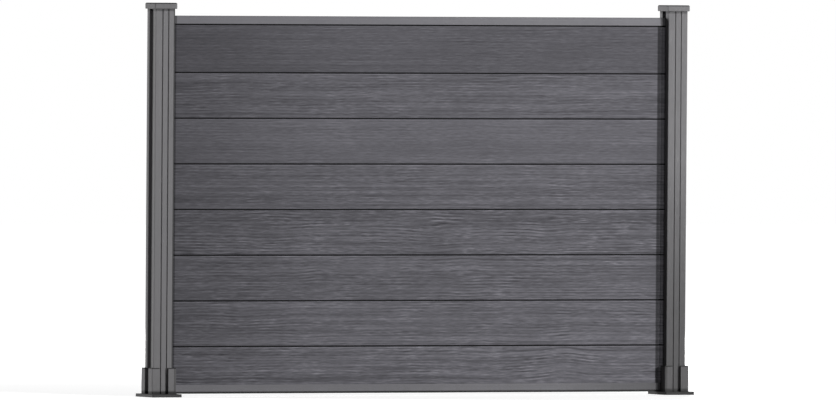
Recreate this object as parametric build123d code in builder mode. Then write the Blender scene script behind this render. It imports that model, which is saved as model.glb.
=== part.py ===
from build123d import *
import os

# A composite fence panel: eight hollow tongue-and-groove boards stacked between two slotted
# aluminium posts, with a channel rail under the stack, a hollow rail over it, a cap on each post,
# and a bolt-down base plate with four corner angles round each post's foot.
# Millimetres. X runs along the fence, the front faces -Y, Z is up, and the origin is on the floor,
# midway between the posts and midway through the panel.

# Boards
board_length = 1830.0
board_thickness = 20.0
board_cover = 150.0  # height that one board adds to the stack
top_board_cover = 158.0  # the last board, which the top rail sits on, is a little taller
board_count = 8
board_skin = 4.0  # wall round the hollow chambers
board_web = 4.0  # wall between two chambers
chamber_count = 4
chamber_radius = 2.0
tongue_height = 10.0
tongue_width = 7.0
tongue_chamfer = 1.5
groove_side_gap = 0.5
groove_top_gap = 0.8
joint_height = 5.0  # the dark line that shows between two boards
joint_depth = 4.0
board_edge_chamfer = 0.8

# Rails, which slide into the posts' slots with the boards
rail_end_inset = 2.0  # how much shorter than a board a rail is, at each end
rail_wall = 2.3
rail_floor = 2.0
rail_board_gap = 0.2
rail_edge_chamfer = 1.2
rail_line_drop = 10.0  # from a rail's top to the fine line pressed along its faces
rail_line_height = 1.4
rail_line_depth = 0.6
channel_height = 24.0  # bottom rail, without its foot
foot_height = 5.0
foot_inset = 5.0  # from the bottom rail's face back to the foot under it
top_rail_height = 26.0

# Posts
post_width = 70.0
post_reveal = 22.0  # post that shows between the top rail and the cap
post_corner_radius = 2.5
post_wall = 2.5
slot_depth = 22.0
slot_rail_gap = 1.0
board_end_gap = 2.0  # from a board's end to the bottom of its slot
rib_width = 15.0  # raised band down the middle of the front and back
flute_width = 6.0  # groove on each side of that band
flute_depth = 3.0
chamber_edge_radius = 0.8

# Caps
cap_overhang = 6.0
cap_height = 20.0
cap_corner_radius = 5.0
cap_top_chamfer = 3.0
cap_foot_chamfer = 1.5
plug_depth = 20.0
plug_wall = 2.0
plug_gap = 0.3
plug_radius = 1.2

# Bases
plate_thickness = 10.0
plate_side_margin = 9.25  # plate that shows past the angles, along the fence
plate_front_margin = 26.25  # and in front of them and behind them
plate_corner_radius = 4.0
plate_edge_chamfer = 1.0
anchor_side_inset = 15.0  # from an anchor hole's middle to the plate's edges
anchor_front_inset = 13.0
anchor_radius = 4.5
angle_height = 86.0
angle_leg = 28.5
angle_wall = 7.5
angle_post_gap = 1.25
angle_corner_radius = 3.0
angle_top_chamfer = 1.5

# Sizes that follow from the ones above
rail_length = board_length - 2 * rail_end_inset
rail_width = board_thickness + 2 * (rail_board_gap + rail_wall)
slot_width = rail_width + 2 * slot_rail_gap
clear_width = board_length - 2 * (slot_depth - board_end_gap)
post_x = (clear_width + post_width) / 2
stack_bottom = plate_thickness + foot_height + rail_floor
stack_top = stack_bottom + (board_count - 1) * board_cover + top_board_cover
cap_bottom = stack_top + top_rail_height + post_reveal
post_length = cap_bottom - plate_thickness
cap_width = post_width + 2 * cap_overhang
core_width = post_width - 2 * slot_depth
core_chamber_width = core_width - 2 * post_wall
core_chamber_depth = post_width - 2 * (flute_depth + post_wall)
angle_reach = post_width / 2 + angle_post_gap + angle_wall
plate_width = 2 * (angle_reach + plate_side_margin)
plate_depth = 2 * (angle_reach + plate_front_margin)

POST_PLACES = {"left": -post_x, "right": post_x}


def along_fence(length, height):
    """Section plane of a piece that runs along X for a length, centred, with its foot at a height."""
    return Plane(origin=(-length / 2, 0, height), x_dir=(0, 1, 0), z_dir=(1, 0, 0))


def upright(x, height):
    """Level plane over a point of the fence line."""
    return Plane(origin=(x, 0, height))


def save(builder, label):
    builder.part.label = label
    export_step(builder.part, f"parts/{label}.step")


def board(number):
    """One board: open lips over a groove at its foot, hollow chambers, a stepped top and a tongue."""
    cover = top_board_cover if number == board_count else board_cover
    face_top = cover - joint_height
    half = board_thickness / 2
    shoulder = half - joint_depth
    groove_half = tongue_width / 2 + groove_side_gap
    groove_depth = tongue_height + groove_top_gap
    tongue_half = tongue_width / 2
    tongue_top = cover + tongue_height
    chambers_bottom = groove_depth + board_skin
    chambers_top = face_top - board_skin
    chamber_pitch = (chambers_top - chambers_bottom + board_web) / chamber_count
    chamber_height = chamber_pitch - board_web
    height = stack_bottom + (number - 1) * board_cover
    with BuildPart() as plank:
        with BuildSketch(along_fence(board_length, height)):
            with BuildLine():
                Polyline(
                    (0, groove_depth),
                    (groove_half, groove_depth),
                    (groove_half, 0),
                    (half - board_edge_chamfer, 0),
                    (half, board_edge_chamfer),
                    (half, face_top - board_edge_chamfer),
                    (half - board_edge_chamfer, face_top),
                    (shoulder, face_top),
                    (shoulder, cover),
                    (tongue_half, cover),
                    (tongue_half, tongue_top - tongue_chamfer),
                    (tongue_half - tongue_chamfer, tongue_top),
                    (0, tongue_top),
                )
                mirror(about=Plane.YZ)
            make_face()
            with Locations((0, (chambers_bottom + chambers_top) / 2)):
                with GridLocations(0, chamber_pitch, 1, chamber_count):
                    RectangleRounded(
                        board_thickness - 2 * board_skin,
                        chamber_height,
                        chamber_radius,
                        mode=Mode.SUBTRACT,
                    )
        extrude(amount=board_length)
    return plank


def press_rail_lines(rail_top):
    """Cuts the fine line along each outer face of the rail section being drawn."""
    line_y = rail_top - rail_line_drop
    with Locations((rail_width / 2, line_y), (-rail_width / 2, line_y)):
        Rectangle(2 * rail_line_depth, rail_line_height, mode=Mode.SUBTRACT)


def bottom_rail():
    """Channel that the lowest board stands in, on a narrower foot of two legs."""
    rail_top = foot_height + channel_height
    leg_x = rail_width / 2 - foot_inset - rail_wall / 2
    with BuildPart() as rail:
        with BuildSketch(along_fence(rail_length, plate_thickness)) as section:
            with Locations((0, foot_height)):
                Rectangle(rail_width, channel_height, align=(Align.CENTER, Align.MIN))
            chamfer(section.vertices().group_by(Axis.Y)[0], rail_edge_chamfer)
            with Locations((0, foot_height + rail_floor)):
                Rectangle(
                    rail_width - 2 * rail_wall,
                    channel_height,
                    align=(Align.CENTER, Align.MIN),
                    mode=Mode.SUBTRACT,
                )
            with Locations((leg_x, 0), (-leg_x, 0)):
                Rectangle(rail_wall, foot_height, align=(Align.CENTER, Align.MIN))
            press_rail_lines(rail_top)
        extrude(amount=rail_length)
    return rail


def top_rail():
    """Hollow rail that sits on the top board's shoulders, grooved for its tongue."""
    grip_width = tongue_width + 2 * groove_side_gap
    grip_depth = tongue_height + groove_top_gap
    with BuildPart() as rail:
        with BuildSketch(along_fence(rail_length, stack_top)) as section:
            Rectangle(rail_width, top_rail_height, align=(Align.CENTER, Align.MIN))
            chamfer(section.vertices().group_by(Axis.Y)[-1], rail_edge_chamfer)
            with Locations((0, rail_wall)):
                Rectangle(
                    rail_width - 2 * rail_wall,
                    top_rail_height - 2 * rail_wall,
                    align=(Align.CENTER, Align.MIN),
                    mode=Mode.SUBTRACT,
                )
            Rectangle(
                grip_width + 2 * rail_wall,
                grip_depth + rail_wall,
                align=(Align.CENTER, Align.MIN),
            )
            Rectangle(
                grip_width,
                grip_depth,
                align=(Align.CENTER, Align.MIN),
                mode=Mode.SUBTRACT,
            )
            press_rail_lines(top_rail_height)
        extrude(amount=rail_length)
    return rail


def post(x):
    """Hollow extrusion with a board slot down each side and a fluted rib down its front and back."""
    half = post_width / 2
    flute_x = (rib_width + flute_width) / 2
    flute_y = half - flute_depth / 2
    horn_inner_x = flute_x + flute_width / 2 + post_wall
    horn_width = half - post_wall - horn_inner_x
    horn_inner_y = slot_width / 2 + post_wall
    horn_depth = half - post_wall - horn_inner_y
    with BuildPart() as mast:
        with BuildSketch(upright(x, plate_thickness)):
            RectangleRounded(post_width, post_width, post_corner_radius)
            with GridLocations(post_width - slot_depth, 0, 2, 1):
                Rectangle(slot_depth, slot_width, mode=Mode.SUBTRACT)
            with GridLocations(2 * flute_x, 2 * flute_y, 2, 2):
                Rectangle(flute_width, flute_depth, mode=Mode.SUBTRACT)
            RectangleRounded(
                core_chamber_width,
                core_chamber_depth,
                chamber_edge_radius,
                mode=Mode.SUBTRACT,
            )
            Rectangle(
                rib_width - 2 * post_wall,
                post_width - 2 * post_wall,
                mode=Mode.SUBTRACT,
            )
            with GridLocations(2 * horn_inner_x + horn_width, 2 * horn_inner_y + horn_depth, 2, 2):
                RectangleRounded(horn_width, horn_depth, chamber_edge_radius, mode=Mode.SUBTRACT)
        extrude(amount=post_length)
    return mast


def cap(x):
    """Square cap that sits on a post's end, with a hollow plug down the post's core."""
    plug_x = core_chamber_width - 2 * plug_gap
    plug_y = core_chamber_depth - 2 * plug_gap
    with BuildPart() as lid:
        with BuildSketch(upright(x, cap_bottom)):
            RectangleRounded(cap_width, cap_width, cap_corner_radius)
        extrude(amount=cap_height)
        chamfer(lid.faces().sort_by(Axis.Z)[-1].edges(), cap_top_chamfer)
        chamfer(lid.faces().sort_by(Axis.Z)[0].edges(), cap_foot_chamfer)
        with BuildSketch(upright(x, cap_bottom)):
            RectangleRounded(plug_x, plug_y, plug_radius)
            Rectangle(plug_x - 2 * plug_wall, plug_y - 2 * plug_wall, mode=Mode.SUBTRACT)
        extrude(amount=-plug_depth)
    return lid


def base_plate(x):
    """Plate under a post, with an anchor hole in each corner."""
    with BuildPart() as plate:
        with BuildSketch(upright(x, 0)):
            RectangleRounded(plate_width, plate_depth, plate_corner_radius)
        extrude(amount=plate_thickness)
        chamfer(plate.faces().sort_by(Axis.Z)[-1].edges(), plate_edge_chamfer)
        with Locations(upright(x, plate_thickness)):
            with GridLocations(
                plate_width - 2 * anchor_side_inset, plate_depth - 2 * anchor_front_inset, 2, 2
            ):
                Hole(anchor_radius)
    return plate


def corner_angle(x, side, row):
    """Angle round one corner of a post's foot; side and row are the signs of that corner's X and Y."""
    inner_reach = angle_reach - angle_wall
    inward = (Align.MAX if side > 0 else Align.MIN, Align.MAX if row > 0 else Align.MIN)
    with BuildPart() as angle:
        with BuildSketch(upright(x, plate_thickness)) as section:
            with Locations((side * angle_reach, row * angle_reach)):
                Rectangle(angle_leg, angle_leg, align=inward)
            with Locations((side * inner_reach, row * inner_reach)):
                Rectangle(angle_leg, angle_leg, align=inward, mode=Mode.SUBTRACT)
            outer = section.vertices().sort_by_distance((side * angle_reach, row * angle_reach))[0]
            fillet(outer, angle_corner_radius)
        extrude(amount=angle_height)
        chamfer(angle.faces().sort_by(Axis.Z)[-1].edges(), angle_top_chamfer)
    return angle


os.makedirs("parts", exist_ok=True)

for number in range(1, board_count + 1):
    save(board(number), f"board_{number}")

save(bottom_rail(), "bottom_rail")
save(top_rail(), "top_rail")

for place, x in POST_PLACES.items():
    outward = 1 if x > 0 else -1
    save(post(x), f"{place}_post")
    save(cap(x), f"{place}_cap")
    save(base_plate(x), f"{place}_base_plate")
    for row_name, row in (("front", -1), ("back", 1)):
        for side_name, side in (("outer", outward), ("inner", -outward)):
            save(corner_angle(x, side, row), f"{place}_{row_name}_{side_name}_angle")
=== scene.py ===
import math

import bpy
import numpy as np
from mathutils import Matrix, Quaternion, Vector


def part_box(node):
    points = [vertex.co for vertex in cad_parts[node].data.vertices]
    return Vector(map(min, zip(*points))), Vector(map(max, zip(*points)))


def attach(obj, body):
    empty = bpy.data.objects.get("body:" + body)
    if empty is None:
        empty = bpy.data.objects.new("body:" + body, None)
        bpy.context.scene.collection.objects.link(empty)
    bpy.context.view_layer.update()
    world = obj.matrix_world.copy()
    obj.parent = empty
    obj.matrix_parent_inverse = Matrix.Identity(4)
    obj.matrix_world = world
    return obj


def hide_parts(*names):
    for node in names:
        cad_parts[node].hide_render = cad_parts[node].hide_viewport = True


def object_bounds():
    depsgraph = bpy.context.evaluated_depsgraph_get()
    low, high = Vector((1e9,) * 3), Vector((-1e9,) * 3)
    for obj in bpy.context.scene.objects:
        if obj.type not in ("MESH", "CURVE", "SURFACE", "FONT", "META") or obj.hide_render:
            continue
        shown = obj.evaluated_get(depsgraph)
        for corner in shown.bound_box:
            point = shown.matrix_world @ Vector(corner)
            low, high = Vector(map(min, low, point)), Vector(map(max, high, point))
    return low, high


# A composite fence panel on a pale studio floor. Metres, in the same frame as the solid model:
# X runs along the fence, the front faces -Y and Z is up.

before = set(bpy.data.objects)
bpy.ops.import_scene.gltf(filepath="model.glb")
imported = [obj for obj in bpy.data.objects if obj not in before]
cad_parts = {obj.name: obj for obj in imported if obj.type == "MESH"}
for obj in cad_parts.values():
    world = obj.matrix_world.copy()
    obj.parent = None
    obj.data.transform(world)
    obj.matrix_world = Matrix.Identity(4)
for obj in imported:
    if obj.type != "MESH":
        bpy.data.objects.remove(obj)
cad_low, cad_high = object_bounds()

# Places, worked out from the frame
LEFT_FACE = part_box("left_post")[1].x  # the posts' faces towards the boards
RIGHT_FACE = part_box("right_post")[0].x
PLATE_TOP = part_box("left_base_plate")[1].z
ANGLE_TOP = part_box("left_front_outer_angle")[1].z
RAIL_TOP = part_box("top_rail")[1].z
POST_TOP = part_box("left_post")[1].z
CAP_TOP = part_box("left_cap")[1].z

# Camera
IMAGE_WIDTH = 836
IMAGE_HEIGHT = 400
LENS = 0.78
SENSOR = 0.036
CAMERA_AZIMUTH = -24.6
CAMERA_ELEVATION = 0.9
PIXELS_PER_METRE = 302.95
FLOOR_PIXEL_Y = 395.7  # where the fence line meets the floor
FENCE_MIDDLE_PIXEL_X = 417.85
CLIP_END = 150.0

# Light
WHITE = (1.0, 1.0, 1.0, 1.0)
AMBIENT = 0.08
FLOOR_SIZE = 60.0
FLOOR_GLOW = 0.6  # what the floor adds for the camera near the fence, so that it reads as white
FLOOR_SEEN = 0.8
FLOOR_BOUNCE = 0.25
FLOOR_SPECK_LEVELS = (0.98, 1.0)
FLOOR_ROUGHNESS = 0.9
SHADOW_REACH = 2.0  # the floor keeps its shadow this far out, and is plain white past twice that
LAMP_SIZE = 1.0
LAMPS = {  # azimuth, elevation, distance, and the level on a surface that faces the lamp
    "key": (36.0, 8.0, 9.0, 0.715),
    "front_top": (12.0, 38.0, 9.0, 0.26),
    "left_back": (-113.0, 8.0, 20.0, 0.85),
    "right_back": (150.0, 15.0, 9.0, 0.6),
}

# Boards, whose overall size comes from the frame
BOARDS = [f"board_{number}" for number in range(1, 9)]
TONGUE_HEIGHT = 0.010
TONGUE_WIDTH = 0.007
TONGUE_CHAMFER = 0.0015
GROOVE_SIDE_GAP = 0.0005
GROOVE_TOP_GAP = 0.0008
JOINT_HEIGHT = 0.005
JOINT_DEPTH = 0.004
EDGE_CHAMFER = 0.0008
ROW_PITCH = 0.0015  # from point to point of a grained face, upwards
COLUMN_PITCH = 0.009  # and along the board
SHARP_ANGLE = 30.0
RELIEF = 0.0006  # depth of the embossed grain
RECESS_TONE = 0.06  # the unlit joint between two boards
PAINTED_EDGE_HIGHLIGHT = 0.4  # painted highlight: how much lighter a board's upper edge is
PAINTED_EDGE_HIGHLIGHT_REACH = 0.002
GRAIN_SEED = 40
BOARD_TONES = [1.04, 1.05, 1.01, 0.91, 1.01, 1.09, 0.98, 0.85]  # from the bottom board up
GRAIN_STRENGTHS = [1.0, 0.8, 0.84, 1.13, 0.76, 0.36, 0.73, 0.4]

# Grain: the length and height of each layer's features. A bend's reach comes first.
SLOW_BEND = (0.003, 0.35, 0.06)
FINE_BEND = (0.0008, 0.05, 0.02)
RING_BEND = (0.005, 0.15, 0.04)
RING_PITCH = 0.0098
RING_STREAK = (0.032, 0.010)
RING_FADE = 1.5
BAND = (0.9, 0.011)
LONG_STREAK = (0.25, 0.0045)
LONG_POWER = 1.2
SHORT_STREAK = (0.020, 0.0036)
SHORT_POWER = 1.2
BUSY_PATCH = (0.11, 0.035)
TONE_PATCH = (0.4, 0.06)
TONE_LOW = 0.96
TONE_SPAN = 0.08
STREAK_STRETCH = (0.6, 1.7)  # how much longer or shorter one row of streaks is than another
EYE_COUNT = (1, 4)  # the second is never reached
EYE_REACH = (0.05, 0.12)
EYE_HALF_HEIGHT = (0.004, 0.007)
EYE_PULL = 0.8
RINGS_WEIGHT = 0.82
SHORT_WEIGHT = 0.42
LONG_WEIGHT = 0.30
BANDS_WEIGHT = 0.30
QUIET_SHARE = 0.45  # of rings and short streaks, where a board's grain is calm
GROOVE_WEIGHT = 0.75  # grooves are softer than ridges

# Colours as they look, from 0 to 255
BOARD_GREY = (97, 96, 101.5)
FLECK_GREY = (128, 126, 130)
POST_GREY = (115, 114, 116)
RAIL_GREY = (110, 109, 114)
CAP_GREY = (114, 113, 115)
PLATE_GREY = (52, 52, 53)
RUBBED_GREY = (150, 150, 152)
RUBBED_ANGLE_GREY = (140, 140, 141)
RUBBED_PLATE_GREY = (80, 80, 80)
DUST = (98, 96, 95)
# painted shade where boards and rails go into the posts
PAINTED_POST_SHADE_GREY = (38, 37, 39)
# painted shade on tops and upper rims
PAINTED_TOP_SHADE_GREY = (36, 36, 37)
# painted shade low at the right end
PAINTED_LOW_SHADE_GREY = (30, 30, 30)
# painted deep shade at the feet, on the posts' inner and left-facing faces, and in the left post's
# corners and slot
PAINTED_DEEP_SHADE_GREY = (18, 18, 18)

# Noise: how many features there are per metre along X, Y and Z
NOISE_RANGE = (0.3, 0.7)  # where most of a noise lies
FIBRES = (26, 300, 340)
FIBRE_PATCHES = (9, 9, 30)
PORES = (40, 600, 1300)
FLECKS = (260, 260, 900)
BOARD_CLOUDS = (4, 4, 14)
METAL_CLOUDS = (7, 7, 4)
UPRIGHT_LINES = (420, 420, 1.5)
LEVEL_LINES = (1.5, 420, 420)
CAST_SPECKS = (90, 90, 90)
POWDER = (1500, 1500, 1500)
SCUFFS = (60, 45, 30)
FLOOR_SPECKS = (30, 30, 30)

# Board surface
FIBRE_RANGE = (0.45, 0.72)
PATCH_RANGE = (0.38, 0.68)
PATCH_LEVELS = (0.1, 0.75)
STROKE_LEVELS = (0.95, 1.95)
GRAIN_LEVELS = (0.25, 1.75)  # in grooves and on ridges
CLOUD_AMOUNT = 0.05
PORE_AMOUNT = 0.20
FLECK_RANGE = (0.70, 0.80)
FLECK_SHARE = 0.35
ROUGHNESS_RANGE = (0.1, 0.9)
GRAIN_ROUGHNESS = (0.90, 0.72)
BOARD_SPECULAR = 0.15
BOARD_BUMP = 0.00025

# Metal surface
LINE_AMOUNT = 0.05
METAL_CLOUD_AMOUNT = 0.04
POWDER_AMOUNT = 0.05
BEVEL_SAMPLES = 4
BEVEL_RADIUS = 0.0012
EDGE_MATCH = (0.98, 0.80)  # how well the normal of a rounded edge matches the plain one
RUBBED_RANGE = (0.42, 0.62)
RUBBED_SHARE = 0.55
RUBBED_SMOOTHING = -0.12
SCUFF_SMOOTHING = 0.07
SCUFF_ROUGHENING = 0.09
TOP_SHADE_DULL_RANGE = (0.05, 0.25)  # the share of painted top shade from which the coating starts to turn dull, and where it is dull
METAL_SPECULAR = 0.2
METAL_BUMP = 0.00006
LINE_BUMP_SHARE = 0.6

# Painted shade, painted light falloff and dust: each range goes from where a share starts to
# change to where it stops, and the first three are of a face's normal.
UP_RANGE = (0.35, 0.65)
FLAT_UP_RANGE = (0.8, 0.95)
LEFT_RANGE = (-0.5, -0.9)
SLOPE_SHARE = 0.85
FLAT_SHARE = 0.35  # of what a slope has
FOOT_SHARE = 0.97
# Painted shade where boards and rails go into the posts, and a painted light falloff from the left
# post
LEFT_PAINTED_SHADE_X = (LEFT_FACE + 0.018, LEFT_FACE + 0.014)
LEFT_PAINTED_SHADE_SHARE = 0.8
LEFT_PAINTED_FADE_X = (LEFT_FACE + 0.545, LEFT_FACE + 0.015)
RIGHT_PAINTED_SHADE_RUN = 0.004
RIGHT_SHADE_X = (RIGHT_FACE - 0.018, RIGHT_FACE - 0.007)  # where the right post's shadow starts
# From which X at the right, share of painted shade there, how much of it is kept in the lamp's
# shadow, share of painted light falloff at the left
BOARD_PAINTED_SHADE = (RIGHT_FACE - 0.030, 0.87, 0.25, 0.28)
RAIL_PAINTED_SHADE = (RIGHT_FACE - 0.021, 0.85, 1.0, 0.0)
PAINTED_POST_SHADE_LEVEL = 0.16  # of a board's colour under a full share of painted shade
# Painted shade on the posts' faces towards the boards below the top rail, and on left-facing faces
# at the fence's left end
INNER_FACE_X = (RIGHT_FACE + 0.0002, RIGHT_FACE + 0.0008)
INNER_FACE_SHARE = 0.5
ABOVE_RAIL_Z = (RAIL_TOP - 0.001, RAIL_TOP + 0.003)
LEFT_END_X = (LEFT_FACE + 0.015, LEFT_FACE - 0.005)
LEFT_END_SHARE = 0.4
# Painted shade in the left post's inner corners and on the lips of its outer slot
LEFT_CORNER_X = (LEFT_FACE - 0.0056, LEFT_FACE - 0.0046)
LEFT_CORNER_SHARE = 0.85
LEFT_POST_X = (LEFT_FACE + 0.005, LEFT_FACE + 0.015)
LEFT_SLOT_X = (LEFT_FACE - 0.055, LEFT_FACE - 0.065)
SLOT_LIP_Y = (0.0195, 0.0165)
SLOT_LIP_SHARE = 0.8
# Painted shade, most at the foot of the right post
PAINTED_LOW_SHADE_X = (RIGHT_FACE - 0.395, RIGHT_FACE + 0.055)
PAINTED_LOW_SHADE_Z = (0.78, 0.28)
PAINTED_LOW_SHADE_SHARE = 0.58
DUST_Z = (0.22, 0.0)
DUST_RANGE = (0.35, 0.65)
DUST_SHARES = (0.05, 0.3)
# Painted light falloff along the fence
PAINTED_FALLOFF_X = (LEFT_FACE - 0.005, RIGHT_FACE + 0.005)
# Painted shade at the feet of posts, angles and rails
POST_FOOT_Z = (PLATE_TOP + 0.006, PLATE_TOP + 0.013)
RAIL_FOOT_Z = (PLATE_TOP + 0.0045, PLATE_TOP + 0.0085)
# Two heights, and the share of painted shade from the second one up
POST_RIM = (POST_TOP - 0.009, POST_TOP - 0.006, 0.6)
CAP_RIM = (CAP_TOP - 0.004, CAP_TOP - 0.002, 0.7)
ANGLE_RIM = (ANGLE_TOP - 0.004, ANGLE_TOP - 0.003, 0.8)


def srgb(red, green, blue):
    """Linear colour, with alpha, of a colour given as 0 to 255."""
    shares = [value / 255 for value in (red, green, blue)]
    linear = [s / 12.92 if s <= 0.04045 else ((s + 0.055) / 1.055) ** 2.4 for s in shares]
    return (*linear, 1.0)


def towards(azimuth, elevation):
    """Unit vector from the fence towards an azimuth, counted from the front, and an elevation."""
    a = math.radians(azimuth)
    e = math.radians(elevation)
    return Vector((math.sin(a) * math.cos(e), -math.cos(a) * math.cos(e), math.sin(e)))


def make_camera():
    """Long lens from the left, rolled so that the rails lie level."""
    azimuth = math.radians(CAMERA_AZIMUTH)
    focal_pixels = LENS / SENSOR * IMAGE_WIDTH
    target = Vector((
        (IMAGE_WIDTH / 2 - FENCE_MIDDLE_PIXEL_X) / PIXELS_PER_METRE / math.cos(azimuth),
        0,
        (FLOOR_PIXEL_Y - IMAGE_HEIGHT / 2) / PIXELS_PER_METRE,
    ))
    back = towards(CAMERA_AZIMUTH, CAMERA_ELEVATION)
    rail_slope = math.tan(azimuth) * math.sin(math.radians(CAMERA_ELEVATION))
    data = bpy.data.cameras.new("camera")
    data.lens = LENS * 1000
    data.sensor_width = SENSOR * 1000
    data.clip_end = CLIP_END
    camera = bpy.data.objects.new("camera", data)
    camera.rotation_mode = "QUATERNION"
    camera.location = target + back * (focal_pixels / PIXELS_PER_METRE)
    level = (-back).to_track_quat("-Z", "Y")
    camera.rotation_quaternion = level @ Quaternion((0, 0, 1), -math.atan(rail_slope))
    bpy.context.scene.collection.objects.link(camera)
    bpy.context.scene.camera = camera


def make_lamp(name, azimuth, elevation, distance, level, centre):
    """Square soft lamp; at level 1 a surface that faces it renders in its written colour."""
    data = bpy.data.lights.new(name, "AREA")
    data.size = LAMP_SIZE
    data.energy = level * (math.pi * distance) ** 2
    lamp = bpy.data.objects.new(name, data)
    out = towards(azimuth, elevation)
    lamp.location = centre + out * distance
    lamp.rotation_euler = out.to_track_quat("Z", "Y").to_euler()
    lamp.visible_camera = False
    bpy.context.scene.collection.objects.link(lamp)


class Nodes:
    """A node tree being filled, with short ways to add nodes."""

    def __init__(self, tree):
        self.tree = tree

    def add(self, kind, **settings):
        node = self.tree.nodes.new(kind)
        for key, value in settings.items():
            setattr(node, key, value)
        return node

    def feed(self, socket, value):
        """Links a socket to a node's output, or sets it to a constant."""
        if isinstance(value, bpy.types.NodeSocket):
            self.tree.links.new(value, socket)
        else:
            socket.default_value = value

    def maths(self, operation, first, second):
        node = self.add("ShaderNodeMath", operation=operation)
        self.feed(node.inputs[0], first)
        self.feed(node.inputs[1], second)
        return node.outputs[0]

    def times(self, value, *others):
        """Product of two or more values."""
        for other in others:
            value = self.maths("MULTIPLY", value, other)
        return value

    def spread(self, value, low, high, to_low=0.0, to_high=1.0):
        """Maps low to high onto to_low to to_high, and stops there."""
        node = self.add("ShaderNodeMapRange")
        for socket, given in zip(node.inputs, (value, low, high, to_low, to_high)):
            self.feed(socket, given)
        return node.outputs[0]

    def seen(self):
        """1 for what the camera sees, straight, mirrored or through glass, and 0 for light."""
        path = self.add("ShaderNodeLightPath").outputs
        seen = self.maths("MAXIMUM", path["Is Camera Ray"], path["Is Glossy Ray"])
        return self.maths("MAXIMUM", seen, path["Is Transmission Ray"])


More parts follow.
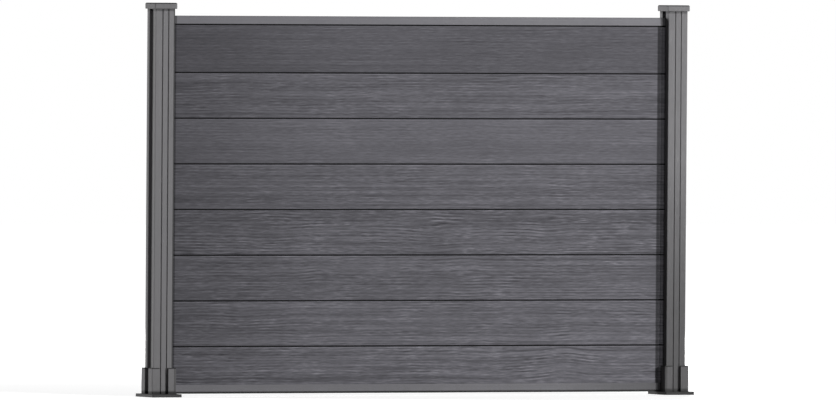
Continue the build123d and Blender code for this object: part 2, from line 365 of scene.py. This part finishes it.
class Look(Nodes):
    """A material being made. Its noises are given in features per metre."""

    def __init__(self, name):
        self.material = bpy.data.materials.new(name)
        self.material.use_nodes = True
        super().__init__(self.material.node_tree)
        self.shader = self.tree.nodes["Principled BSDF"]
        self.place = self.add("ShaderNodeTexCoord").outputs["Object"]

    def shade(self, **sockets):
        """Fills the shader's sockets; an underscore in a name stands for a space."""
        for name, value in sockets.items():
            self.feed(self.shader.inputs[name.replace("_", " ")], value)

    def bump(self, height, distance):
        node = self.add("ShaderNodeBump")
        self.feed(node.inputs["Height"], height)
        self.feed(node.inputs["Distance"], distance)
        self.feed(node.inputs["Strength"], 1.0)
        self.shade(Normal=node.outputs[0])

    def noise(self, x, y, z, detail=2.0, roughness=0.5, warp=0.0):
        stretched = self.add("ShaderNodeVectorMath", operation="MULTIPLY")
        self.feed(stretched.inputs[0], self.place)
        self.feed(stretched.inputs[1], (x, y, z))
        node = self.add("ShaderNodeTexNoise")
        self.feed(node.inputs["Vector"], stretched.outputs[0])
        self.feed(node.inputs["Scale"], 1.0)
        self.feed(node.inputs["Detail"], detail)
        self.feed(node.inputs["Roughness"], roughness)
        self.feed(node.inputs["Distortion"], warp)
        return node.outputs["Fac"]

    def vary(self, noise, amount):
        """A level round 1, which a noise moves by an amount either way."""
        return self.spread(noise, *NOISE_RANGE, 1 - amount, 1 + amount)

    def mix(self, share, first, second):
        node = self.add("ShaderNodeMix", data_type="RGBA")
        self.feed(node.inputs["Factor"], share)
        self.feed(node.inputs[6], first)
        self.feed(node.inputs[7], second)
        return node.outputs[2]

    def dim(self, colour, level):
        """A constant colour times a level."""
        node = self.add("ShaderNodeVectorMath", operation="SCALE")
        self.feed(node.inputs[0], colour[:3])
        self.feed(node.inputs["Scale"], level)
        return node.outputs[0]

    def stored(self, name):
        """A value that the mesh keeps at each of its points."""
        return self.add("ShaderNodeAttribute", attribute_name=name).outputs["Fac"]

    def coordinate(self, axis):
        node = self.add("ShaderNodeSeparateXYZ")
        self.feed(node.inputs[0], self.place)
        return node.outputs[axis]

    def facing(self, axis):
        """How far the surface faces along an axis, from -1 to 1."""
        node = self.add("ShaderNodeSeparateXYZ")
        self.feed(node.inputs[0], self.add("ShaderNodeNewGeometry").outputs["Normal"])
        return node.outputs[axis]

    def edges(self):
        """1 on sharp outer edges, 0 on flat faces."""
        rounded = self.add("ShaderNodeBevel", samples=BEVEL_SAMPLES)
        self.feed(rounded.inputs["Radius"], BEVEL_RADIUS)
        plain = self.add("ShaderNodeNewGeometry")
        match = self.add("ShaderNodeVectorMath", operation="DOT_PRODUCT")
        self.feed(match.inputs[0], rounded.outputs[0])
        self.feed(match.inputs[1], plain.outputs["Normal"])
        return self.spread(match.outputs["Value"], *EDGE_MATCH)

    def painted_shade_by_posts(self, right_from, right_share, kept, fade):
        """Share of painted shade where boards and rails go into the posts, less inside the right
        post's cast shadow, and of a painted light falloff fading from the left one.
        """
        x = self.coordinate("X")
        left = self.spread(x, *LEFT_PAINTED_SHADE_X, 0.0, LEFT_PAINTED_SHADE_SHARE)
        right = self.times(
            self.spread(x, right_from, right_from + RIGHT_PAINTED_SHADE_RUN, 0.0, right_share),
            self.spread(x, *RIGHT_SHADE_X, 1.0, kept),
        )
        along = self.maths("MAXIMUM", self.spread(x, *LEFT_PAINTED_FADE_X, 0.0, fade), right)
        return self.maths("MAXIMUM", left, along)

    def painted_top_shade(self):
        """Share of painted shade on faces that look up: most on sloping rims, less on flat tops.
        """
        up = self.facing("Z")
        return self.times(
            self.spread(up, *UP_RANGE, 0.0, SLOPE_SHARE),
            self.spread(up, *FLAT_UP_RANGE, 1.0, FLAT_SHARE),
        )

    def painted_foot_shade(self, full, top):
        """Share of painted shade above the base plates: full up to one height, and gone by
        another.
        """
        return self.spread(self.coordinate("Z"), full, top, FOOT_SHARE, 0.0)

    def painted_rim_shade(self, low, high, share):
        """Share of painted shade on the sides of an upper edge, growing from one height to
        another.
        """
        return self.times(
            self.spread(self.coordinate("Z"), low, high, 0.0, share),
            self.spread(self.facing("Z"), *FLAT_UP_RANGE, 1.0, 0.0),
        )

    def painted_side_shade(self):
        """Share of painted shade on the posts' faces towards the boards below the top rail, and on
        left-facing faces at the fence's left end.
        """
        x = self.coordinate("X")
        inner = self.times(
            self.spread(self.maths("ABSOLUTE", x, 0.0), *INNER_FACE_X, INNER_FACE_SHARE, 0.0),
            self.spread(self.coordinate("Z"), *ABOVE_RAIL_Z, 1.0, 0.0),
        )
        left = self.times(
            self.spread(self.facing("X"), *LEFT_RANGE),
            self.spread(x, *LEFT_END_X, 0.0, LEFT_END_SHARE),
        )
        return self.maths("MAXIMUM", inner, left)

    def painted_slot_shade(self):
        """Share of painted shade in the left post's inner corners and on the lips of its outer
        slot.
        """
        x = self.coordinate("X")
        corner = self.times(
            self.spread(x, *LEFT_CORNER_X, 0.0, LEFT_CORNER_SHARE),
            self.spread(x, *LEFT_POST_X, 1.0, 0.0),
        )
        depth = self.maths("ABSOLUTE", self.coordinate("Y"), 0.0)
        lip = self.times(
            self.spread(x, *LEFT_SLOT_X),
            self.spread(depth, *SLOT_LIP_Y, 0.0, SLOT_LIP_SHARE),
            self.spread(self.facing("X"), *LEFT_RANGE),
        )
        return self.maths("MAXIMUM", corner, lip)

    def painted_low_shade(self):
        """Share of painted shade, most at the foot of the right post."""
        return self.times(
            self.spread(self.coordinate("Z"), *PAINTED_LOW_SHADE_Z, 0.0, PAINTED_LOW_SHADE_SHARE),
            self.spread(self.coordinate("X"), *PAINTED_LOW_SHADE_X),
        )


def composite_board():
    """Wood-grained composite: grooves darker than ridges, fibres, specks, painted shade at the
    ends by the posts and a painted light falloff from the left.
    """
    look = Look("embossed_composite")
    grain = look.stored("grain")
    tone_and_painted_light = look.stored("tone_and_painted_light")
    vigour = look.stored("vigour")
    fibres = look.noise(*FIBRES, detail=2, roughness=0.6)
    patches = look.noise(*FIBRE_PATCHES, detail=1)
    pores = look.noise(*PORES, detail=1)
    flecks = look.noise(*FLECKS, detail=1)
    clouds = look.noise(*BOARD_CLOUDS, detail=2)
    strokes = look.times(
        look.spread(fibres, *FIBRE_RANGE),
        look.spread(patches, *PATCH_RANGE, *PATCH_LEVELS),
        vigour,
    )
    level = look.times(
        look.spread(grain, 0.0, 1.0, *GRAIN_LEVELS),
        tone_and_painted_light,
        look.spread(strokes, 0.0, 1.0, *STROKE_LEVELS),
        look.vary(clouds, CLOUD_AMOUNT),
        look.vary(pores, PORE_AMOUNT),
        look.spread(look.painted_shade_by_posts(*BOARD_PAINTED_SHADE), 0.0, 1.0, 1.0, PAINTED_POST_SHADE_LEVEL),
    )
    colour = look.dim(srgb(*BOARD_GREY), level)
    flecked = look.spread(flecks, *FLECK_RANGE, 0.0, FLECK_SHARE)
    colour = look.mix(flecked, colour, srgb(*FLECK_GREY))
    rough = look.spread(grain, *ROUGHNESS_RANGE, *GRAIN_ROUGHNESS)
    look.shade(Base_Color=colour, Roughness=rough, Specular_IOR_Level=BOARD_SPECULAR)
    look.bump(look.maths("ADD", fibres, pores), BOARD_BUMP)
    return look.material


def coated_metal(
    name,
    colour,
    texture,
    rubbed_colour,
    roughness=0.5,
    painted_falloff=(1.0, 1.0),
    foot=None,
    rim=None,
    between_posts=False,
    at_end=False,
    slotted=False,
):
    """Powder-coated metal: fine texture, lines along the extrusion, rubbed edges, dust, painted
    shade and a painted light falloff.

    The drift is a painted light falloff: the level at the left and at the right end of the fence.
    Foot and rim are the heights and share of painted shade at the foot and on an upper rim.
    The last three say where on the fence the piece is, and whether it has slots, for the painted
    shade there.
    """
    look = Look(name)
    lines = look.noise(*texture, detail=3, roughness=0.6)
    clouds = look.noise(*METAL_CLOUDS, detail=3)
    powder = look.noise(*POWDER, detail=1)
    scuffs = look.noise(*SCUFFS, detail=4, roughness=0.7, warp=1.5)
    # The level carries a painted light falloff along the fence
    level = look.times(
        look.vary(lines, LINE_AMOUNT),
        look.vary(clouds, METAL_CLOUD_AMOUNT),
        look.vary(powder, POWDER_AMOUNT),
        look.spread(look.coordinate("X"), *PAINTED_FALLOFF_X, *painted_falloff),
    )
    tinted = look.dim(srgb(*colour), level)
    rubbed = look.times(look.edges(), look.spread(scuffs, *RUBBED_RANGE))
    tinted = look.mix(look.times(rubbed, RUBBED_SHARE), tinted, srgb(*rubbed_colour))
    low = look.spread(look.coordinate("Z"), *DUST_Z)
    dust = look.times(low, look.spread(scuffs, *DUST_RANGE, *DUST_SHARES))
    tinted = look.mix(dust, tinted, srgb(*DUST))
    # Painted shade low at the right end, on tops, at the feet, on rims, by the posts, on inner and
    # left-facing faces and in slots
    tinted = look.mix(look.painted_low_shade(), tinted, srgb(*PAINTED_LOW_SHADE_GREY))
    shade_on_tops = look.painted_top_shade()
    tinted = look.mix(shade_on_tops, tinted, srgb(*PAINTED_TOP_SHADE_GREY))
    if foot:
        tinted = look.mix(look.painted_foot_shade(*foot), tinted, srgb(*PAINTED_DEEP_SHADE_GREY))
    if rim:
        tinted = look.mix(look.painted_rim_shade(*rim), tinted, srgb(*PAINTED_TOP_SHADE_GREY))
    if between_posts:
        # Painted shade where the rail goes into the posts
        tinted = look.mix(look.painted_shade_by_posts(*RAIL_PAINTED_SHADE), tinted, srgb(*PAINTED_POST_SHADE_GREY))
    if at_end:
        tinted = look.mix(look.painted_side_shade(), tinted, srgb(*PAINTED_DEEP_SHADE_GREY))
    if slotted:
        tinted = look.mix(look.painted_slot_shade(), tinted, srgb(*PAINTED_DEEP_SHADE_GREY))
    rough = look.maths(
        "ADD",
        look.spread(
            scuffs, *NOISE_RANGE, roughness - SCUFF_SMOOTHING, roughness + SCUFF_ROUGHENING
        ),
        look.times(rubbed, RUBBED_SMOOTHING),
    )
    rough = look.maths("MAXIMUM", rough, look.spread(shade_on_tops, *TOP_SHADE_DULL_RANGE))
    look.shade(Base_Color=tinted, Roughness=rough, Specular_IOR_Level=METAL_SPECULAR)
    look.bump(look.maths("ADD", powder, look.times(lines, LINE_BUMP_SHARE)), METAL_BUMP)
    return look.material


def smooth(share):
    """Eases a share from 0 to 1 in and out."""
    return share * share * (3 - 2 * share)


def lattice(rng, x, z, cell_x, cell_z):
    """Smooth random field from 0 to 1 whose features are about a cell large."""
    u = (x - x.min()) / cell_x
    v = (z - z.min()) / cell_z
    i = u.astype(int)
    j = v.astype(int)
    values = rng.random((i.max() + 2, j.max() + 2))
    s = smooth(u - i)
    t = smooth(v - j)
    near = values[i, j] * (1 - s) + values[i + 1, j] * s
    far = values[i, j + 1] * (1 - s) + values[i + 1, j + 1] * s
    return near * (1 - t) + far * t


def bend(rng, x, z, reach, cell_x, cell_z):
    """Smooth random field from 0 to a reach."""
    return reach * lattice(rng, x, z, cell_x, cell_z)


def streaks(rng, x, z, length, pitch):
    """Random lines along X, each row of them with its own lengths and starts."""
    v = (z - z.min()) / pitch
    row = v.astype(int)
    rows = row.max() + 2
    stretch = rng.uniform(*STREAK_STRETCH, rows) * length
    start = rng.uniform(0, 1, rows)
    columns = int((x.max() - x.min()) / stretch.min()) + 3
    values = rng.random((rows, columns))

    def along(line):
        u = (x - x.min()) / stretch[line] + start[line]
        i = u.astype(int)
        s = smooth(u - i)
        return values[line, i] * (1 - s) + values[line, i + 1] * s

    t = smooth(v - row)
    return along(row) * (1 - t) + along(row + 1) * t


def sparse(field, power):
    """A 0 to 1 field as -1 to 1, with its middle flattened so that only strong lines stay."""
    signed = 2 * field - 1
    return np.sign(signed) * np.abs(signed) ** power


def wood_grain(rng, x, z, strength):
    """Embossed grain from 0, groove, to 1, ridge: wavy streaks that part round a few eyes."""
    flow = z + bend(rng, x, z, *SLOW_BEND) + bend(rng, x, z, *FINE_BEND)
    for _ in range(rng.integers(*EYE_COUNT)):
        eye_x = rng.uniform(x.min(), x.max())
        eye_z = rng.uniform(z.min(), z.max())
        reach = rng.uniform(*EYE_REACH)
        half_height = rng.uniform(*EYE_HALF_HEIGHT)
        swell = np.exp(-(((x - eye_x) / reach) ** 2))
        flow = flow - EYE_PULL * half_height * np.tanh((z - eye_z) / half_height) * swell
    rings = np.sin(2 * np.pi * (flow + bend(rng, x, z, *RING_BEND)) / RING_PITCH)
    rings = rings * streaks(rng, x, flow, *RING_STREAK) ** RING_FADE
    bands = 2 * streaks(rng, x, flow, *BAND) - 1
    long = sparse(streaks(rng, x, flow, *LONG_STREAK), LONG_POWER)
    short = sparse(streaks(rng, x, flow, *SHORT_STREAK), SHORT_POWER)
    busy = QUIET_SHARE + lattice(rng, x, z, *BUSY_PATCH) ** 2
    field = (RINGS_WEIGHT * rings + SHORT_WEIGHT * short) * busy
    field = field + LONG_WEIGHT * long + BANDS_WEIGHT * bands
    field = np.where(field < 0, GROOVE_WEIGHT * field, field) * strength
    return 0.5 + 0.5 * np.tanh(field)


def board_outline(thickness, cover):
    """Front half of a board's section as (y, z) points, from the groove up to the tongue."""
    half = thickness / 2
    groove_half = TONGUE_WIDTH / 2 + GROOVE_SIDE_GAP
    groove_depth = TONGUE_HEIGHT + GROOVE_TOP_GAP
    shoulder = half - JOINT_DEPTH
    face_top = cover - JOINT_HEIGHT
    tongue_half = TONGUE_WIDTH / 2
    tongue_top = cover + TONGUE_HEIGHT
    foot = [
        (0, groove_depth),
        (-groove_half, groove_depth),
        (-groove_half, 0),
        (EDGE_CHAMFER - half, 0),
    ]
    face_rows = round((face_top - 2 * EDGE_CHAMFER) / ROW_PITCH)
    face = [(-half, z) for z in np.linspace(EDGE_CHAMFER, face_top - EDGE_CHAMFER, face_rows + 1)]
    head = [
        (EDGE_CHAMFER - half, face_top),
        (-shoulder, face_top),
        (-shoulder, cover),
        (-tongue_half, cover),
        (-tongue_half, tongue_top - TONGUE_CHAMFER),
        (TONGUE_CHAMFER - tongue_half, tongue_top),
        (0, tongue_top),
    ]
    return foot, face, head


def bar_mesh(name, x, y, z, stored):
    """Closed bar through a grid of points, each row of it one section, with values to store."""
    points = np.stack([x, y, z], axis=-1).reshape(-1, 3)
    index = np.arange(len(points)).reshape(x.shape)
    beside = np.roll(index, -1, axis=1)
    quads = np.stack([index[:-1], index[1:], beside[1:], beside[:-1]], axis=-1).reshape(-1, 4)
    ends = [index[0].tolist(), index[-1, ::-1].tolist()]
    mesh = bpy.data.meshes.new(name)
    mesh.from_pydata(points.tolist(), [], quads.tolist() + ends)
    for label, values in stored.items():
        mesh.attributes.new(label, "FLOAT", "POINT").data.foreach_set("value", values.ravel())
    mesh.polygons.foreach_set("use_smooth", [True] * len(mesh.polygons))
    mesh.set_sharp_from_angle(angle=math.radians(SHARP_ANGLE))
    return mesh


def make_board(name, number, material):
    """Board with its grain embossed into both faces, in place of the plain solid."""
    low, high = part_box(name)
    half = (high.y - low.y) / 2
    rng = np.random.default_rng(GRAIN_SEED + number)
    foot, face, head = board_outline(high.y - low.y, high.z - low.z - TONGUE_HEIGHT)
    front = np.array(foot + face + head)
    back = front[-2:0:-1] * (-1, 1)
    outline = np.vstack([front, back])
    columns = round((high.x - low.x) / COLUMN_PITCH)
    x, z = np.meshgrid(np.linspace(low.x, high.x, columns + 1), outline[:, 1], indexing="ij")
    y = np.broadcast_to(outline[:, 0], x.shape).copy()
    front_face = slice(len(foot), len(foot) + len(face))
    back_start = len(outline) + 1 - len(foot) - len(face)
    back_face = slice(back_start, back_start + len(face))
    strength = GRAIN_STRENGTHS[number - 1]
    grain = np.full(x.shape, 0.5)
    for rows in (front_face, back_face):
        ridges = wood_grain(rng, x[:, rows], z[:, rows], strength)
        grain[:, rows] = ridges
        y[:, rows] -= np.sign(y[:, rows]) * RELIEF * (1 - ridges)
    tone_and_painted_light = BOARD_TONES[number - 1] * (TONE_LOW + TONE_SPAN * lattice(rng, x, z, *TONE_PATCH))
    face_top = z[0, front_face].max()
    # Painted highlight along each board's upper face edge
    tone_and_painted_light *= 1 + PAINTED_EDGE_HIGHLIGHT * np.exp(np.minimum(z - face_top, 0) / PAINTED_EDGE_HIGHLIGHT_REACH)
    tone_and_painted_light[np.abs(y) < half - 2 * EDGE_CHAMFER] *= RECESS_TONE
    stored = {"grain": grain, "tone_and_painted_light": tone_and_painted_light, "vigour": np.full(x.shape, strength)}
    mesh = bar_mesh(name, x, y, z + low.z, stored)
    mesh.materials.append(material)
    board = bpy.data.objects.new(f"{name}_grained", mesh)
    bpy.context.scene.collection.objects.link(board)
    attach(board, "root")
    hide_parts(name)


def make_floor(centre):
    """Pale floor that reads as white to the camera and in reflections, and keeps the shadow."""
    look = Look("studio_floor")
    seen = look.seen()
    out = look.add("ShaderNodeVectorMath", operation="LENGTH")
    look.feed(out.inputs[0], look.place)
    glow = look.spread(out.outputs["Value"], SHADOW_REACH, 2 * SHADOW_REACH, FLOOR_GLOW, 1.0)
    grey = look.spread(seen, 0.0, 1.0, FLOOR_BOUNCE, FLOOR_SEEN)
    specks = look.noise(*FLOOR_SPECKS, detail=3)
    level = look.times(grey, look.spread(specks, *NOISE_RANGE, *FLOOR_SPECK_LEVELS))
    look.shade(
        Base_Color=look.dim(WHITE, level),
        Roughness=FLOOR_ROUGHNESS,
        Specular_IOR_Level=0.0,
        Emission_Color=WHITE,
        Emission_Strength=look.times(seen, glow),
    )
    half = FLOOR_SIZE / 2
    corners = [(-half, -half), (half, -half), (half, half), (-half, half)]
    mesh = bpy.data.meshes.new("floor")
    mesh.from_pydata([(centre.x + x, centre.y + y, 0) for x, y in corners], [], [range(4)])
    mesh.materials.append(look.material)
    floor = bpy.data.objects.new("floor", mesh)
    bpy.context.scene.collection.objects.link(floor)


def make_world():
    """White to the camera and in reflections, and a little ambient light for everything else."""
    world = bpy.data.worlds.new("studio")
    bpy.context.scene.world = world
    world.use_nodes = True
    nodes = Nodes(world.node_tree)
    background = world.node_tree.nodes["Background"].inputs
    nodes.feed(background["Color"], WHITE)
    nodes.feed(background["Strength"], nodes.spread(nodes.seen(), 0.0, 1.0, AMBIENT, 1.0))


def metal_looks():
    """The coated metals, by how the names of the solids that are made of them end."""
    return {
        "_post": coated_metal(
            "coated_post",
            POST_GREY,
            UPRIGHT_LINES,
            RUBBED_GREY,
            painted_falloff=(1.07, 0.87),
            foot=POST_FOOT_Z,
            rim=POST_RIM,
            at_end=True,
            slotted=True,
        ),
        "_rail": coated_metal(
            "coated_rail",
            RAIL_GREY,
            LEVEL_LINES,
            RUBBED_GREY,
            foot=RAIL_FOOT_Z,
            between_posts=True,
        ),
        "_cap": coated_metal(
            "coated_cap",
            CAP_GREY,
            CAST_SPECKS,
            RUBBED_GREY,
            roughness=0.55,
            rim=CAP_RIM,
            at_end=True,
        ),
        "_angle": coated_metal(
            "coated_angle",
            CAP_GREY,
            UPRIGHT_LINES,
            RUBBED_ANGLE_GREY,
            painted_falloff=(1.0, 1.15),
            foot=POST_FOOT_Z,
            rim=ANGLE_RIM,
            at_end=True,
        ),
        "_base_plate": coated_metal(
            "dark_plate", PLATE_GREY, CAST_SPECKS, RUBBED_PLATE_GREY, roughness=0.6
        ),
    }


def dress_frame():
    """Gives each carried-over solid its material by what it is."""
    looks = metal_looks()
    for name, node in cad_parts.items():
        for ending, material in looks.items():
            if name.endswith(ending):
                for slot in node.material_slots:
                    slot.material = material


scene = bpy.context.scene
scene.view_settings.view_transform = "Standard"
middle = (cad_low + cad_high) / 2
make_camera()
for lamp_name, settings in LAMPS.items():
    make_lamp(lamp_name, *settings, middle)
make_world()
make_floor(middle)
dress_frame()
grained = composite_board()
for board_number, board_name in enumerate(BOARDS, start=1):
    make_board(board_name, board_number, grained)
